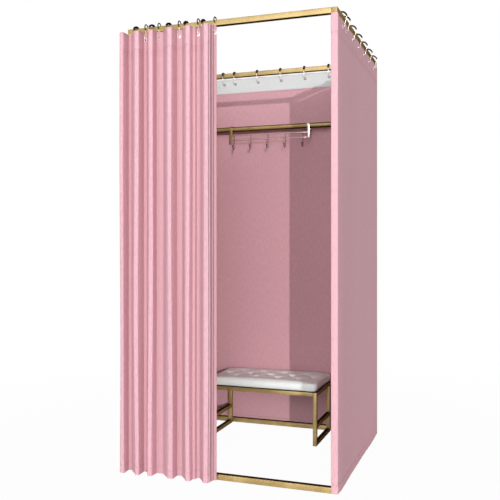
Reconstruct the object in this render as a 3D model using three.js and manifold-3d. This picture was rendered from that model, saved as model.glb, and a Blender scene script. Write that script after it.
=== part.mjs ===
// Portable fitting room: a square tube frame, four hanging curtains on wire hooks,
// a clothes rail with a sliding hook rack, and a tufted bench.
// Millimetres, +Z up. The doorway faces -Y. The origin is on the floor, under the
// middle of the whole object.

import * as THREE from 'three';
import * as BufferGeometryUtils from 'three/addons/utils/BufferGeometryUtils.js';
import Module from 'manifold-3d';

const wasm = await Module();
wasm.setup();

// Driving dimensions

// Frame of square steel tube
const frameWidth = 970;
const frameDepth = 970;
const frameHeight = 2000;
const tubeSize = 25;
const tubeWall = 1.5;
const spigotSize = 10;
const spigotLength = 7;

// Clearances
const seatGap = 0.3;
const cutOverrun = 1;

// Curtain cloth
const clothThickness = 2.4;
const clothStandOff = 0.5;
const clothTopDrop = 30;
const clothFloorGap = 2;
const sleeveBarGap = 3;

// Header tape on the inner face of the three flat curtains
const tapeThickness = 1;
const tapeHeight = 82;

// Eyelets
const eyeletHoleRadius = 5;
const eyeletRadius = 8.5;
const eyeletProud = 1;
const eyeletDrop = 60;
const eyeletSides = 10;

// Gathered front curtain
const ridgeCount = 6;
const pleatPitch = 82.3;
const pleatDepth = 46;
const pleatStandOff = 10;
const pleatLean = 7;
const firstRidgeOutset = 6.5;
const pleatStartAngle = -0.1;
const pleatEndAngle = 3.74;
const pointsPerPleat = 14;
const angleStep = 0.01;
const angleTolerance = 1e-6;

// Wire hooks over the top bars
const hookWireRadius = 1.5;
const hookWireSides = 5;
const hookArcDrop = 6;
const hookArcSteps = 6;
const hookBendSteps = 2;
const hookTipReach = 4;
const hookTipDrop = 9;
const tipBendShare = 0.7;
const hookBendRadius = 12;
const hookToeRadius = 4;
const hookToeReach = 4;
const hookToeRise = 3;
const slopeHookOffset = 37;
const slopeHookRise = 3;
const slopeRunShares = [0.3, 0.55, 0.78, 0.93, 1];

// Hook places along the flat curtains, from the front or left end
const firstHookInset = 90;
const pairPitch = 69;
const hookPitch = 138;
const flatHookCount = 7;

// Clothes rail
const railDiameter = 28;
const railDrop = 328;
const railSides = 20;
const railWall = 1.5;
const railStandOff = 4;
const railEndGap = 2;
const bracketWidth = 20;
const bracketWall = 4;

// Sliding hook rack on the rail
const rackEndGap = 154;
const rackStrapSpacing = 451;
const strapWidth = 16;
const strapThickness = 2.5;
const strapDrop = 69;
const strapTail = 20;
const strapSegments = 8;
const rackWireRadius = 2;
const rackWireSides = 5;
const rackUpperWireDrop = 38;
const rackLowerWireDrop = 65;
const rackHookCount = 5;
const rackHookInset = 18;
const rackHookPitch = 101;
const rackHookDrop = 52;
const rackHookRadius = 12;
const rackHookSteps = 5;
const rackHookRise = 6;
const rackBallRadius = 4.5;
const rackBallSides = 6;
const rackBallRings = 4;

// Bench
const benchLeftGap = 135;
const benchRearGap = 33;
const benchWidth = 590;
const benchDepth = 312;
const benchFrameHeight = 270;
const benchTube = 20;
const benchMidRailHeight = 98;
const boardThickness = 3.4;
const boardInset = 3;
const cushionThickness = 43;
const cushionCrown = 4;
const cushionOverhang = 1;
const cushionCorner = 28;
const cushionEdgeDrop = 4;
const cushionSideDraw = 5;
const sideDrawPower = 4;
const endRollPower = 14;
const frontRollPower = 16;
const rimHeightShares = [0.5, 0];
const rimWidthShares = [1.006, 0.985];
const tuftRows = [4, 5, 4];
const tuftPitchX = 118;
const tuftPitchY = 72;
const tuftRadius = 26;
const tuftDepth = 9;
const cushionStepsX = 36;
const cushionStepsY = 19;

// Places worked out from the driving dimensions

const halfWidth = frameWidth / 2;
const halfDepth = frameDepth / 2;
const innerTube = tubeSize - 2 * tubeWall;
const clothTop = frameHeight - clothTopDrop;
const clothHeight = clothTop - clothFloorGap;
const eyeletHeight = frameHeight - eyeletDrop;
const wireSeatHeight = eyeletHeight + eyeletHoleRadius - hookWireRadius - seatGap;
const clothOutside = clothStandOff + clothThickness;
const hookArcHeight = frameHeight - hookArcDrop;
const hookArcStep = Math.PI / hookArcSteps;
const hookArcRadius = (Math.hypot(tubeSize / 2, hookArcDrop) + hookWireRadius + seatGap)
  / Math.cos(hookArcStep / 2);
const hookToeOut = clothOutside + hookToeReach + hookToeRadius;
const pleatMiddle = pleatStandOff + pleatDepth / 2;
const pleatOutside = pleatStandOff + pleatDepth + clothThickness / 2;
const railRadius = railDiameter / 2;
const railY = halfDepth - tubeSize - railStandOff - railRadius;
const railHeight = frameHeight - railDrop;
const rackLeftStrap = rackEndGap - halfWidth;
const firstRidgeX = -halfWidth - firstRidgeOutset;
const benchLeft = benchLeftGap - halfWidth;
const benchRight = benchLeft + benchWidth;
const benchBack = halfDepth - benchRearGap;
const benchFront = benchBack - benchDepth;
const rearReach = halfDepth + hookToeOut + hookWireRadius;
const frontReach = halfDepth + pleatOutside;
const originShift = (frontReach - rearReach) / 2;

// Finishes

const finish = (name, color, roughness, metalness) => {
  const material = new THREE.MeshStandardMaterial({ color, roughness, metalness });
  material.name = name;
  return material;
};
const goldSteel = finish('gold_coated_steel', 0xd8c080, 0.35, 0.85);
const hookWire = finish('gilt_hook_wire', 0xb08a48, 0.3, 0.9);
const pinkCloth = finish('pink_cloth', 0xdda3ad, 0.9, 0);
const whiteTape = finish('white_header_tape', 0xf2efec, 0.85, 0);
const rackSteel = finish('rack_steel', 0xc9b58a, 0.3, 0.9);
const darkBoard = finish('dark_board', 0x2d2622, 0.8, 0);
const greyHide = finish('pale_grey_leathercloth', 0xdfe2e0, 0.5, 0);

// Solid helpers

function toSolid(geometry) {
  const bare = geometry.clone();
  bare.deleteAttribute('normal');
  bare.deleteAttribute('uv');
  const merged = BufferGeometryUtils.mergeVertices(bare, 1e-4);
  return new wasm.Manifold(new wasm.Mesh({
    numProp: 3,
    vertProperties: new Float32Array(merged.attributes.position.array),
    triVerts: new Uint32Array(merged.index.array),
  }));
}

function toGeometry(solid) {
  const mesh = solid.getMesh();
  const geometry = new THREE.BufferGeometry();
  geometry.setAttribute('position', new THREE.BufferAttribute(mesh.vertProperties, 3));
  geometry.setIndex(new THREE.BufferAttribute(mesh.triVerts, 1));
  geometry.computeVertexNormals();
  return geometry;
}

function box(x0, x1, y0, y1, z0, z1) {
  const geometry = new THREE.BoxGeometry(x1 - x0, y1 - y0, z1 - z0);
  geometry.translate((x0 + x1) / 2, (y0 + y1) / 2, (z0 + z1) / 2);
  return toSolid(geometry);
}

function roundBar(radius, sides, from, to) {
  const start = new THREE.Vector3(...from);
  const run = new THREE.Vector3(...to).sub(start);
  const geometry = new THREE.CylinderGeometry(radius, radius, run.length(), sides);
  geometry.translate(0, run.length() / 2, 0);
  const up = new THREE.Vector3(0, 1, 0);
  geometry.applyQuaternion(new THREE.Quaternion().setFromUnitVectors(up, run.clone().normalize()));
  geometry.translate(start.x, start.y, start.z);
  return toSolid(geometry);
}

// A route that runs straight from one of its points to the next
class WireRoute extends THREE.Curve {
  constructor(points) {
    super();
    this.points = points;
  }

  getPoint(share, target = new THREE.Vector3()) {
    const last = this.points.length - 1;
    const place = THREE.MathUtils.clamp(share, 0, 1) * last;
    const index = Math.min(Math.floor(place), last - 1);
    return target.lerpVectors(this.points[index], this.points[index + 1], place - index);
  }

  getPointAt(share, target) {
    return this.getPoint(share, target);
  }

  getTangentAt(share, target) {
    return this.getTangent(share, target);
  }
}

function wire(points, radius, sides) {
  const section = new THREE.Shape();
  for (let side = 0; side < sides; side += 1) {
    const angle = 2 * Math.PI * (side + 0.5) / sides;
    const x = radius * Math.cos(angle);
    const y = radius * Math.sin(angle);
    if (side === 0) section.moveTo(x, y);
    else section.lineTo(x, y);
  }
  section.closePath();
  return new THREE.ExtrudeGeometry(section, {
    steps: points.length - 1,
    extrudePath: new WireRoute(points),
    bevelEnabled: false,
    curveSegments: 1,
  });
}

function arcPoints(centre, radius, fromAngle, toAngle, steps) {
  const points = [];
  for (let step = 0; step <= steps; step += 1) {
    const angle = fromAngle + (toAngle - fromAngle) * step / steps;
    points.push([centre[0] + radius * Math.cos(angle), centre[1] + radius * Math.sin(angle)]);
  }
  return points;
}

const room = new THREE.Group();
room.position.y = originShift;

function place(name, geometry, material, parent = room) {
  const mesh = new THREE.Mesh(geometry, material);
  mesh.name = name;
  parent.add(mesh);
  return mesh;
}

// Frame: four posts with sockets, eight bars with spigots

function makePost(sideX, sideY) {
  const outerX = sideX * halfWidth;
  const outerY = sideY * halfDepth;
  const innerX = outerX - sideX * tubeSize;
  const innerY = outerY - sideY * tubeSize;
  const low = [Math.min(outerX, innerX), Math.min(outerY, innerY)];
  let post = box(low[0], low[0] + tubeSize, low[1], low[1] + tubeSize, 0, frameHeight);
  post = post.subtract(box(
    low[0] + tubeWall, low[0] + tubeWall + innerTube,
    low[1] + tubeWall, low[1] + tubeWall + innerTube,
    -cutOverrun, frameHeight - tubeWall,
  ));
  const centreX = (outerX + innerX) / 2;
  const centreY = (outerY + innerY) / 2;
  const half = spigotSize / 2 + seatGap;
  const reach = tubeSize / 2 + cutOverrun;
  for (const middle of [tubeSize / 2, frameHeight - tubeSize / 2]) {
    const socketX = [centreX, centreX - sideX * reach].sort((a, b) => a - b);
    const socketY = [centreY, centreY - sideY * reach].sort((a, b) => a - b);
    post = post.subtract(box(...socketX, centreY - half, centreY + half, middle - half, middle + half));
    post = post.subtract(box(centreX - half, centreX + half, ...socketY, middle - half, middle + half));
  }
  return toGeometry(post);
}

// A bar along X, centred on the origin, open through its two spigots
function makeBar(clearSpan) {
  const halfSpan = clearSpan / 2 - seatGap;
  const halfTube = tubeSize / 2;
  const halfInner = innerTube / 2;
  const halfSpigot = spigotSize / 2;
  const halfBore = halfSpigot - tubeWall;
  const halfReach = halfSpan + spigotLength;
  let bar = box(-halfSpan, halfSpan, -halfTube, halfTube, -halfTube, halfTube);
  bar = bar.add(box(-halfReach, halfReach, -halfSpigot, halfSpigot, -halfSpigot, halfSpigot));
  const hollow = halfSpan - tubeWall;
  bar = bar.subtract(box(-hollow, hollow, -halfInner, halfInner, -halfInner, halfInner));
  const through = halfReach + cutOverrun;
  return toGeometry(bar.subtract(box(-through, through, -halfBore, halfBore, -halfBore, halfBore)));
}

for (const [sideName, sideY] of [['front', -1], ['rear', 1]]) {
  place(`post_${sideName}_left`, makePost(-1, sideY), goldSteel);
  place(`post_${sideName}_right`, makePost(1, sideY), goldSteel);
}

const widthBar = makeBar(frameWidth - 2 * tubeSize);
const depthBar = makeBar(frameDepth - 2 * tubeSize);
for (const [level, height] of [['top', frameHeight - tubeSize / 2], ['bottom', tubeSize / 2]]) {
  for (const [sideName, side] of [['front', -1], ['rear', 1]]) {
    const bar = place(`${level}_bar_${sideName}`, widthBar, goldSteel);
    bar.position.set(0, side * (halfDepth - tubeSize / 2), height);
  }
  for (const [sideName, side] of [['left', -1], ['right', 1]]) {
    const bar = place(`${level}_bar_${sideName}`, depthBar, goldSteel);
    bar.rotation.z = Math.PI / 2;
    bar.position.set(side * (halfWidth - tubeSize / 2), 0, height);
  }
}

// Flat curtains. Each is drawn as the front one would be: cloth along X, its outer
// face towards -Y, the frame's outer face at y = 0. Then it is turned to its side.

function eyelet(x, faceY) {
  const profile = [
    new THREE.Vector2(eyeletHoleRadius, 0),
    new THREE.Vector2(eyeletRadius, 0),
    new THREE.Vector2(eyeletRadius - eyeletProud, eyeletProud),
    new THREE.Vector2(eyeletHoleRadius, eyeletProud),
    new THREE.Vector2(eyeletHoleRadius, 0),
  ];
  const geometry = new THREE.LatheGeometry(profile, eyeletSides);
  geometry.rotateX(Math.PI);
  geometry.translate(x, faceY, eyeletHeight);
  return toSolid(geometry);
}

function eyeletHole(x, radius, y0, y1) {
  return roundBar(radius, eyeletSides, [x, y0, eyeletHeight], [x, y1, eyeletHeight]);
}

function hookPlaces() {
  const places = [firstHookInset, firstHookInset + pairPitch];
  while (places.length < flatHookCount) places.push(places[places.length - 1] + hookPitch);
  return places;
}

function flatCurtain(x0, x1, places) {
  let cloth = box(x0, x1, -clothOutside, -clothStandOff, clothFloorGap, clothTop);
  for (const x of places) {
    cloth = cloth.subtract(eyeletHole(x, eyeletHoleRadius, -clothOutside - cutOverrun, cutOverrun));
    cloth = cloth.add(eyelet(x, -clothOutside));
  }
  return cloth;
}

// A side curtain also wraps round the front post as a sleeve, at its low or high end
function sideCurtain(span, places, frontSign) {
  const corner = span / 2 + clothOutside;
  const rearEnd = span / 2 + clothStandOff;
  const ends = [-frontSign * rearEnd, frontSign * corner].sort((a, b) => a - b);
  let cloth = flatCurtain(...ends, places);
  const face = [frontSign * (span / 2 + clothStandOff), frontSign * corner].sort((a, b) => a - b);
  const flapFrom = tubeSize + clothStandOff;
  const flapTo = flapFrom + clothThickness;
  cloth = cloth.add(box(...face, -clothOutside, flapTo, clothFloorGap, clothTop));
  const flap = [frontSign * (span / 2 - tubeSize), frontSign * corner].sort((a, b) => a - b);
  const flapLow = tubeSize + sleeveBarGap;
  return cloth.add(box(...flap, flapFrom, flapTo, flapLow, clothTop));
}

function headerTape(span, places) {
  const halfSpan = span / 2 - tubeSize - seatGap;
  const outer = -clothStandOff + seatGap;
  const inner = outer + tapeThickness;
  let tape = box(-halfSpan, halfSpan, outer, inner, clothTop - tapeHeight, clothTop);
  for (const x of places) {
    tape = tape.subtract(eyeletHole(x, eyeletHoleRadius, outer - cutOverrun, inner + cutOverrun));
  }
  return tape;
}

// Hooks. Each is drawn in a plane across its bar, by its reach outward from the bar's
// outer face and its height.

const barMiddle = -tubeSize / 2;

// From the free tip outside, over the bar, down its inner side and out through the eyelet
function innerShankHook() {
  const tipX = barMiddle + hookArcRadius + hookTipReach;
  const points = [
    [tipX, hookArcHeight - hookTipDrop],
    [tipX - hookTipReach * tipBendShare, hookArcHeight - hookTipDrop / 2],
  ];
  points.push(...arcPoints([barMiddle, hookArcHeight], hookArcRadius, 0, Math.PI, hookArcSteps));
  const shankX = barMiddle - hookArcRadius;
  const bendCentre = [shankX + hookBendRadius, wireSeatHeight + hookBendRadius];
  points.push(...arcPoints(bendCentre, hookBendRadius, Math.PI, 1.5 * Math.PI, hookBendSteps));
  const toeCentre = [hookToeOut - hookToeRadius, wireSeatHeight + hookToeRadius];
  points.push(...arcPoints(toeCentre, hookToeRadius, 1.5 * Math.PI, 2 * Math.PI, hookBendSteps));
  points.push([hookToeOut, wireSeatHeight + hookToeRadius + hookToeRise]);
  return points;
}

// From the free tip behind the bar, over it and down its front to an eyelet in a valley
function frontShankHook() {
  const tipX = barMiddle - hookArcRadius - hookTipReach;
  const points = [
    [tipX, hookArcHeight - hookTipDrop],
    [tipX + hookTipReach * tipBendShare, hookArcHeight - hookTipDrop / 2],
  ];
  points.push(...arcPoints([barMiddle, hookArcHeight], hookArcRadius, Math.PI, 0, hookArcSteps));
  const shankX = barMiddle + hookArcRadius;
  const bend = hookToeRadius;
  const bendCentre = [shankX + bend, wireSeatHeight + bend];
  points.push(...arcPoints(bendCentre, bend, Math.PI, 1.5 * Math.PI, hookBendSteps));
  const toeX = pleatStandOff + clothThickness / 2 + eyeletProud + hookToeReach;
  const toeCentre = [toeX, wireSeatHeight + hookToeRadius];
  points.push(...arcPoints(toeCentre, hookToeRadius, 1.5 * Math.PI, 2 * Math.PI, hookBendSteps));
  points.push([toeX + hookToeRadius, wireSeatHeight + hookToeRadius + hookToeRise]);
  return points;
}

// From the free tip behind the bar, over it and forward to the back of the cloth
function slopeHook(reach) {
  const tipX = barMiddle - hookArcRadius - hookTipReach;
  const points = [
    [tipX, hookArcHeight - hookTipDrop],
    [tipX + hookTipReach * tipBendShare, hookArcHeight - hookTipDrop / 2],
  ];
  const arcCentre = [barMiddle, hookArcHeight];
  points.push(...arcPoints(arcCentre, hookArcRadius, Math.PI, Math.PI / 2, hookArcSteps / 2));
  const crest = hookArcHeight + hookArcRadius;
  const drop = crest - clothTop - slopeHookRise;
  const span = reach - barMiddle;
  for (const share of slopeRunShares) {
    points.push([barMiddle + span * share, crest - drop * (1 - Math.sqrt(1 - share * share))]);
  }
  points.push([reach, eyeletHeight]);
  return points;
}

function hookGeometry(points, turn) {
  const route = points.map(([reach, height]) => new THREE.Vector3(0, -reach, height));
  const geometry = wire(route, hookWireRadius, hookWireSides);
  if (turn) geometry.rotateZ(turn);
  return geometry;
}

const places = hookPlaces();

function hangFlatSide(side, turn, x, y, span, localPlaces, cloth) {
  const panel = place(`curtain_${side}`, toGeometry(cloth), pinkCloth);
  const tape = place(`header_tape_${side}`, toGeometry(headerTape(span, localPlaces)), whiteTape);
  for (const piece of [panel, tape]) {
    piece.rotation.z = turn;
    piece.position.set(x, y, 0);
  }
  const points = innerShankHook();
  localPlaces.forEach((along, index) => {
    const hook = place(`hook_${side}_${index + 1}`, hookGeometry(points), hookWire);
    hook.rotation.z = turn;
    hook.position.set(x + along * Math.cos(turn), y + along * Math.sin(turn), 0);
  });
}

// Right side: local +X runs to the rear, so its front post is at the low end
const rightPlaces = places.map((inset) => inset - halfDepth);
hangFlatSide('right', Math.PI / 2, halfWidth, 0, frameDepth, rightPlaces,
  sideCurtain(frameDepth, rightPlaces, -1));

// Left side: local +X runs to the front, so its front post is at the high end
const leftPlaces = places.map((inset) => halfDepth - inset);
hangFlatSide('left', -Math.PI / 2, -halfWidth, 0, frameDepth, leftPlaces,
  sideCurtain(frameDepth, leftPlaces, 1));

// Rear: local +X runs to the left
const rearPlaces = places.map((inset) => halfWidth - inset);
const rearHalf = halfWidth + clothStandOff - seatGap;
hangFlatSide('rear', Math.PI, 0, halfDepth, frameWidth, rearPlaces,
  flatCurtain(-rearHalf, rearHalf, rearPlaces));

// Gathered front curtain: a row of leaning pleats, drawn by their angle

function pleatPoint(angle) {
  return new THREE.Vector2(
    firstRidgeX + pleatPitch * angle / (2 * Math.PI) + pleatLean * (Math.cos(angle) - 1),
    pleatMiddle + pleatDepth / 2 * Math.cos(angle),
  );
}

const pleatEnd = 2 * Math.PI * (ridgeCount - 1) + pleatEndAngle;

function gatheredCurtain() {
  const steps = Math.round(pointsPerPleat * (pleatEnd - pleatStartAngle) / (2 * Math.PI));
  const outer = [];
  const inner = [];
  for (let step = 0; step <= steps; step += 1) {
    const angle = pleatStartAngle + (pleatEnd - pleatStartAngle) * step / steps;
    const here = pleatPoint(angle);
    const along = pleatPoint(angle + angleStep).sub(pleatPoint(angle - angleStep)).normalize();
    const across = new THREE.Vector2(-along.y, along.x).multiplyScalar(clothThickness / 2);
    outer.push(here.clone().add(across));
    inner.push(here.clone().sub(across));
  }
  const outline = [...outer, ...inner.reverse()].map((p) => new THREE.Vector2(p.x, -p.y));
  const geometry = new THREE.ExtrudeGeometry(new THREE.Shape(outline), {
    depth: clothHeight,
    bevelEnabled: false,
  });
  geometry.translate(0, -halfDepth, clothFloorGap);
  return toSolid(geometry);
}

// The cloth's reach in front of the frame at a place along the bar
function clothReachAt(x) {
  let low = pleatStartAngle;
  let high = pleatEnd;
  while (high - low > angleTolerance) {
    const middle = (low + high) / 2;
    if (pleatPoint(middle).x < x) low = middle;
    else high = middle;
  }
  return pleatPoint(low).y;
}

// The cloth's slope there, as reach gained for each unit along the bar
function clothSlopeAt(x) {
  const step = clothThickness / 2;
  return (clothReachAt(x + step) - clothReachAt(x - step)) / (2 * step);
}

const frontHooks = [];
let frontCloth = gatheredCurtain();
for (let ridge = 1; ridge < ridgeCount; ridge += 1) {
  const valley = pleatPoint(2 * Math.PI * ridge + Math.PI).x;
  const slope = pleatPoint(2 * Math.PI * ridge).x - slopeHookOffset;
  const behind = (clothThickness / 2 + hookWireRadius + seatGap) * Math.hypot(1, clothSlopeAt(slope));
  frontHooks.push([slope, slopeHook(clothReachAt(slope) - behind)]);
  frontHooks.push([valley, frontShankHook()]);
  const valleyFace = -halfDepth - pleatStandOff - clothThickness / 2;
  const holeEnds = [valleyFace - 2 * clothThickness, valleyFace + 2 * clothThickness];
  frontCloth = frontCloth.subtract(eyeletHole(valley, eyeletHoleRadius, ...holeEnds));
  frontCloth = frontCloth.add(eyelet(valley, valleyFace));
}
place('curtain_front', toGeometry(frontCloth), pinkCloth);
frontHooks.sort((a, b) => a[0] - b[0]);
frontHooks.forEach(([x, points], index) => {
  const name = `hook_front_${String(index + 1).padStart(2, '0')}`;
  place(name, hookGeometry(points), hookWire).position.set(x, -halfDepth, 0);
});

// Clothes rail in two clips on the rear posts

function makeRail() {
  const half = halfWidth - railEndGap;
  const inner = railRadius - railWall;
  const geometry = new THREE.LatheGeometry([
    new THREE.Vector2(inner, -half),
    new THREE.Vector2(railRadius, -half),
    new THREE.Vector2(railRadius, half),
    new THREE.Vector2(inner, half),
    new THREE.Vector2(inner, -half),
  ], railSides);
  return toGeometry(toSolid(geometry.rotateZ(-Math.PI / 2)));
}

function makeBracket() {
  const bore = railRadius + 2 * seatGap;
  const outer = bore + bracketWall;
  const half = bracketWidth / 2;
  const back = railStandOff + railRadius - seatGap;
  let bracket = roundBar(outer, railSides, [-half, 0, 0], [half, 0, 0]);
  bracket = bracket.add(box(-half, half, 0, back, -outer, outer));
  const cutEnd = half + cutOverrun;
  const cutSide = outer + cutOverrun;
  bracket = bracket.subtract(box(-cutEnd, cutEnd, back, cutSide, -cutSide, cutSide));
  return toGeometry(bracket.subtract(roundBar(bore, railSides, [-cutEnd, 0, 0], [cutEnd, 0, 0])));
}

place('clothes_rail', makeRail(), goldSteel).position.set(0, railY, railHeight);
const bracketShape = makeBracket();
for (const [sideName, side] of [['left', -1], ['right', 1]]) {
  const bracket = place(`rail_bracket_${sideName}`, bracketShape, goldSteel);
  bracket.position.set(side * (halfWidth - tubeSize / 2), railY, railHeight);
}

// Hook rack: two straps over the rail, two wires between them and a row of hooks,
// drawn round the rail's axis

function makeStrap(x) {
  const inner = (railRadius + seatGap) / Math.cos(Math.PI / (2 * strapSegments));
  const outer = inner + strapThickness;
  const outline = new THREE.Shape();
  outline.moveTo(-outer, -strapDrop);
  outline.lineTo(-outer, 0);
  outline.absarc(0, 0, outer, Math.PI, 0, true);
  outline.lineTo(outer, -strapTail);
  outline.lineTo(inner, -strapTail);
  outline.lineTo(inner, 0);
  outline.absarc(0, 0, inner, 0, Math.PI, false);
  outline.lineTo(-inner, -strapDrop);
  outline.closePath();
  const geometry = new THREE.ExtrudeGeometry(outline, {
    depth: strapWidth,
    bevelEnabled: false,
    curveSegments: strapSegments,
  });
  geometry.rotateX(Math.PI / 2);
  geometry.rotateZ(Math.PI / 2);
  geometry.translate(x - strapWidth / 2, 0, 0);
  return toSolid(geometry);
}

function makeRackHook(x, plane) {
  const low = -rackLowerWireDrop - rackHookDrop + rackHookRadius;
  const bend = arcPoints([plane - rackHookRadius, low], rackHookRadius, 0, -Math.PI, rackHookSteps);
  const route = [[plane, -rackUpperWireDrop], ...bend];
  const tip = [plane - 2 * rackHookRadius, low + rackHookRise];
  route.push(tip);
  const points = route.map(([y, z]) => new THREE.Vector3(x, y, z));
  const ball = new THREE.SphereGeometry(rackBallRadius, rackBallSides, rackBallRings);
  ball.translate(x, tip[0], tip[1]);
  return toSolid(wire(points, rackWireRadius, rackWireSides)).add(toSolid(ball));
}

function makeRack() {
  const plane = -railRadius - seatGap - strapThickness / 2;
  let rack = makeStrap(0).add(makeStrap(rackStrapSpacing));
  for (const drop of [rackUpperWireDrop, rackLowerWireDrop]) {
    const ends = [[0, plane, -drop], [rackStrapSpacing, plane, -drop]];
    rack = rack.add(roundBar(rackWireRadius, rackWireSides, ...ends));
  }
  for (let index = 0; index < rackHookCount; index += 1) {
    rack = rack.add(makeRackHook(rackHookInset + index * rackHookPitch, plane));
  }
  return toGeometry(rack);
}

place('hook_rack', makeRack(), rackSteel).position.set(rackLeftStrap, railY, railHeight);

// Bench: a welded frame, a seat board and a tufted cushion

function makeBenchFrame() {
  const low = [benchLeft, benchFront];
  const high = [benchRight - benchTube, benchBack - benchTube];
  const railLevels = [0, benchMidRailHeight - benchTube / 2, benchFrameHeight - benchTube];
  let frame = null;
  const weld = (piece) => {
    frame = frame ? frame.add(piece) : piece;
  };
  for (const x of [low[0], high[0]]) {
    for (const y of [low[1], high[1]]) {
      weld(box(x, x + benchTube, y, y + benchTube, 0, benchFrameHeight));
    }
    for (const z of railLevels) {
      weld(box(x, x + benchTube, benchFront, benchBack, z, z + benchTube));
    }
  }
  for (const y of [low[1], high[1]]) {
    weld(box(benchLeft, benchRight, y, y + benchTube, railLevels[2], benchFrameHeight));
  }
  return toGeometry(frame);
}

const boardBottom = benchFrameHeight + seatGap;
const boardTop = boardBottom + boardThickness;
const cushionBottom = boardTop + seatGap;

function makeBoard() {
  const x = [benchLeft + boardInset, benchRight - boardInset];
  const y = [benchFront + boardInset, benchBack - boardInset];
  return toGeometry(box(...x, ...y, boardBottom, boardTop));
}

function tuftPlaces() {
  const tufts = [];
  tuftRows.forEach((count, row) => {
    const y = (row - (tuftRows.length - 1) / 2) * tuftPitchY;
    for (let index = 0; index < count; index += 1) {
      tufts.push([(index - (count - 1) / 2) * tuftPitchX, y]);
    }
  });
  return tufts;
}

// A point of the cushion's plan, from shares of its half length and half depth,
// with rounded corners and sides drawn in between them
function cushionPlan(u, v) {
  const halfX = (benchRight - benchLeft) / 2 + cushionOverhang;
  const halfY = benchDepth / 2 + cushionOverhang;
  const x = Math.abs(u) * halfX;
  const y = Math.abs(v) * halfY;
  const a = Math.max(0, (x - halfX + cushionCorner) / cushionCorner);
  const b = Math.max(0, (y - halfY + cushionCorner) / cushionCorner);
  const roundX = x - a * cushionCorner * (1 - Math.sqrt(1 - b * b / 2));
  const roundY = y - b * cushionCorner * (1 - Math.sqrt(1 - a * a / 2));
  const drawX = cushionSideDraw * u ** sideDrawPower * (1 - v * v);
  const drawY = cushionSideDraw * v ** sideDrawPower * (1 - u * u);
  return [Math.sign(u) * (roundX - drawX), Math.sign(v) * (roundY - drawY)];
}

function cushionHeight(u, v, x, y, tufts) {
  const roll = (1 - u ** endRollPower) * (1 - v ** frontRollPower);
  let height = cushionThickness - cushionEdgeDrop + cushionEdgeDrop * roll;
  height += cushionCrown * (1 - u * u) * (1 - v * v);
  for (const [tuftX, tuftY] of tufts) {
    const distance = Math.hypot(x - tuftX, y - tuftY) / tuftRadius;
    height -= tuftDepth * Math.exp(-distance * distance * 2);
  }
  return height;
}

function makeCushion() {
  const tufts = tuftPlaces();
  const points = [];
  const faces = [];
  const across = cushionStepsX + 1;
  for (let j = 0; j <= cushionStepsY; j += 1) {
    for (let i = 0; i <= cushionStepsX; i += 1) {
      const u = 2 * i / cushionStepsX - 1;
      const v = 2 * j / cushionStepsY - 1;
      const [x, y] = cushionPlan(u, v);
      points.push(x, y, cushionHeight(u, v, x, y, tufts));
      if (i < cushionStepsX && j < cushionStepsY) {
        const corner = j * across + i;
        faces.push(corner, corner + 1, corner + across + 1);
        faces.push(corner, corner + across + 1, corner + across);
      }
    }
  }
  const rim = [];
  for (let i = 0; i < cushionStepsX; i += 1) rim.push(i);
  for (let j = 0; j < cushionStepsY; j += 1) rim.push(j * across + cushionStepsX);
  for (let i = cushionStepsX; i > 0; i -= 1) rim.push(cushionStepsY * across + i);
  for (let j = cushionStepsY; j > 0; j -= 1) rim.push(j * across);
  let above = rim;
  for (const [level, heightShare] of rimHeightShares.entries()) {
    const widthShare = rimWidthShares[level];
    const below = rim.map((index) => {
      points.push(
        points[3 * index] * widthShare,
        points[3 * index + 1] * widthShare,
        points[3 * index + 2] * heightShare,
      );
      return points.length / 3 - 1;
    });
    above.forEach((upper, corner) => {
      const next = (corner + 1) % above.length;
      faces.push(upper, below[corner], below[next]);
      faces.push(upper, below[next], above[next]);
    });
    above = below;
  }
  points.push(0, 0, 0);
  const centre = points.length / 3 - 1;
  above.forEach((index, corner) => {
    faces.push(centre, above[(corner + 1) % above.length], index);
  });
  const geometry = new THREE.BufferGeometry();
  geometry.setAttribute('position', new THREE.BufferAttribute(new Float32Array(points), 3));
  geometry.setIndex(faces);
  geometry.computeVertexNormals();
  return geometry;
}

place('bench_frame', makeBenchFrame(), goldSteel);
place('bench_board', makeBoard(), darkBoard);
const benchMiddle = [(benchLeft + benchRight) / 2, (benchFront + benchBack) / 2];
place('bench_cushion', makeCushion(), greyHide).position.set(...benchMiddle, cushionBottom);

export default room;
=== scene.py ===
import math
from functools import partial

import bmesh
import bpy
import numpy as np
from mathutils import Matrix, Vector


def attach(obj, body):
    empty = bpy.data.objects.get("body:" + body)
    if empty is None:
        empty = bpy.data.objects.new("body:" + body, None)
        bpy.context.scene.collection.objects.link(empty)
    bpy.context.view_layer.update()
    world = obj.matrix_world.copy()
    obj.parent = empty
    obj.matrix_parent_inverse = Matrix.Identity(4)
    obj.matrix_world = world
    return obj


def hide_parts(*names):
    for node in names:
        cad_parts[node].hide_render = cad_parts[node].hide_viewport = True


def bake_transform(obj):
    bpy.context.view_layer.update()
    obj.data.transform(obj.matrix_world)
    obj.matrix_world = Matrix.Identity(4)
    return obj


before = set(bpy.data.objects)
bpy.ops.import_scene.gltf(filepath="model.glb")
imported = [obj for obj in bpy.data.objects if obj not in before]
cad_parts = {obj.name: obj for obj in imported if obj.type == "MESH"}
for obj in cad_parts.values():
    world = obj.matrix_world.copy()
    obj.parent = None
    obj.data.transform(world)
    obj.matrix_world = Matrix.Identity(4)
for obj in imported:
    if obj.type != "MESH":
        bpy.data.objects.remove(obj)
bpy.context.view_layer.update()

# ------------ camera
# Its place, turn, lens and shift were fitted to the edges in the photo

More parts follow.
